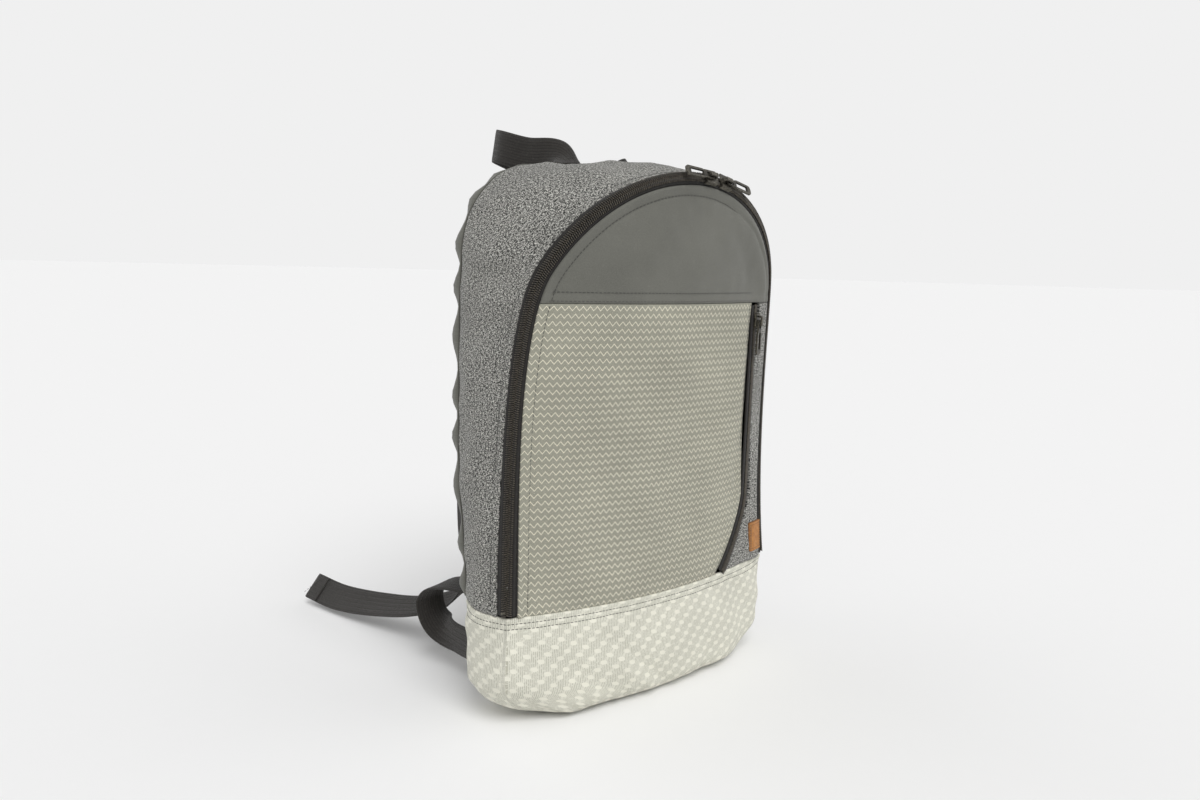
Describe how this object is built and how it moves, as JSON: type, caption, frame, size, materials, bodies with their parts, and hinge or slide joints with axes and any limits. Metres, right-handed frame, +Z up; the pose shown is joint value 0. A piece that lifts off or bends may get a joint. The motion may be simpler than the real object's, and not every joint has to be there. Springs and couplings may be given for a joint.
{
  "type": "daypack",
  "caption": "Zip-round daypack with a front panel that opens as a door, a front pocket, a contrast base, padded back, shoulder straps and a haul loop.",
  "frame": {"origin": "on the floor, on the flat of the base under the main compartment", "axes": "+X to the right seen from the front, +Y towards the back panel and straps, +Z up"},
  "size_m": [0.3166, 0.4124, 0.485],
  "materials": {
    "jacquard": "matte",
    "melange": "matte",
    "dark_twill": "matte",
    "zigzag": "matte",
    "webbing": "matte",
    "zip_tape": "matte",
    "zip_coil": "satin",
    "gunmetal": "satin",
    "hard_plastic": "satin",
    "leather": "matte",
    "lining": "matte",
    "foam": "matte"
  },
  "bodies": {
    "pack": {"base_boot": "jacquard", "side_gusset": "melange", "back_cover": "dark_twill", "back_foam": "foam", "back_lining": "lining", "strap_yoke": "dark_twill", "zip_tape_outer": "zip_tape", "zip_coil_outer": "zip_coil", "zip_stop_left": "gunmetal", "zip_stop_right": "gunmetal", "anchor_tab_left": "dark_twill", "anchor_tab_right": "dark_twill", "lower_webbing_left": "webbing", "lower_webbing_right": "webbing"},
    "front_door": {"front_yoke": "dark_twill", "pocket_panel": "zigzag", "side_strip": "melange", "pocket_lining": "lining", "leather_label": "leather", "zip_tape_inner": "zip_tape", "zip_coil_inner": "zip_coil", "pocket_tape_left": "zip_tape", "pocket_tape_right": "zip_tape", "pocket_coil_left": "zip_coil", "pocket_coil_right": "zip_coil"},
    "main_left_slider": {"main_left_slider": "gunmetal"},
    "main_left_pull": {"main_left_pull": "gunmetal"},
    "main_right_slider": {"main_right_slider": "gunmetal"},
    "main_right_pull": {"main_right_pull": "gunmetal"},
    "pocket_slider": {"pocket_slider": "gunmetal"},
    "pocket_pull": {"pocket_pull": "gunmetal"},
    "haul_loop": {"haul_loop": "webbing"},
    "strap_left": {"strap_lining_left": "lining", "strap_foam_left": "foam", "strap_cloth_left": "dark_twill", "strap_webbing_left": "webbing", "ladder_lock_left": "hard_plastic", "webbing_tail_left": "webbing"},
    "strap_right": {"strap_lining_right": "lining", "strap_foam_right": "foam", "strap_cloth_right": "dark_twill", "strap_webbing_right": "webbing", "ladder_lock_right": "hard_plastic", "webbing_tail_right": "webbing"}
  },
  "joints": [
    {"name": "door_open", "type": "hinge", "parent": "pack", "child": "front_door", "pos_m": [0, -0.0529, 0.0932], "axis": [1, 0, 0], "range_deg": [0, 95]},
    {"name": "main_left_travel", "type": "hinge", "parent": "front_door", "child": "main_left_slider", "pos_m": [0, -0.018, 0.308], "axis": [0, -0.9336, -0.3584], "range_deg": [0, 65]},
    {"name": "main_right_travel", "type": "hinge", "parent": "front_door", "child": "main_right_slider", "pos_m": [0, -0.018, 0.308], "axis": [0, 0.9336, 0.3584], "range_deg": [0, 47]},
    {"name": "main_left_pull_flip", "type": "hinge", "parent": "main_left_slider", "child": "main_left_pull", "pos_m": [0.01257, -0.07305, 0.44078], "axis": [0.0583, 0.4549, 0.8886], "range_deg": [0, 165]},
    {"name": "main_right_pull_flip", "type": "hinge", "parent": "main_right_slider", "child": "main_right_pull", "pos_m": [0.03122, -0.07203, 0.4381], "axis": [-0.1448, -0.4597, -0.8762], "range_deg": [0, 165]},
    {"name": "pocket_travel", "type": "slide", "parent": "front_door", "child": "pocket_slider", "axis": [0.0571, 0.0595, -0.9966], "range_m": [0, 0.145]},
    {"name": "pocket_pull_flip", "type": "hinge", "parent": "pocket_slider", "child": "pocket_pull", "pos_m": [0.10738, -0.04771, 0.32179], "axis": [-0.9514, -0.2993, -0.0724], "range_deg": [0, 165]},
    {"name": "haul_loop_lift", "type": "hinge", "parent": "pack", "child": "haul_loop", "pos_m": [0, 0.043, 0.453], "axis": [1, 0, 0], "range_deg": [0, 80]},
    {"name": "strap_left_swing", "type": "hinge", "parent": "pack", "child": "strap_left", "pos_m": [0, 0.0639, 0.43], "axis": [1, 0, 0], "range_deg": [0, 28], "deforming": ["lower_webbing_left"]},
    {"name": "strap_right_swing", "type": "hinge", "parent": "pack", "child": "strap_right", "pos_m": [0, 0.0639, 0.43], "axis": [1, 0, 0], "range_deg": [0, 28], "deforming": ["lower_webbing_right"]}
  ]
}
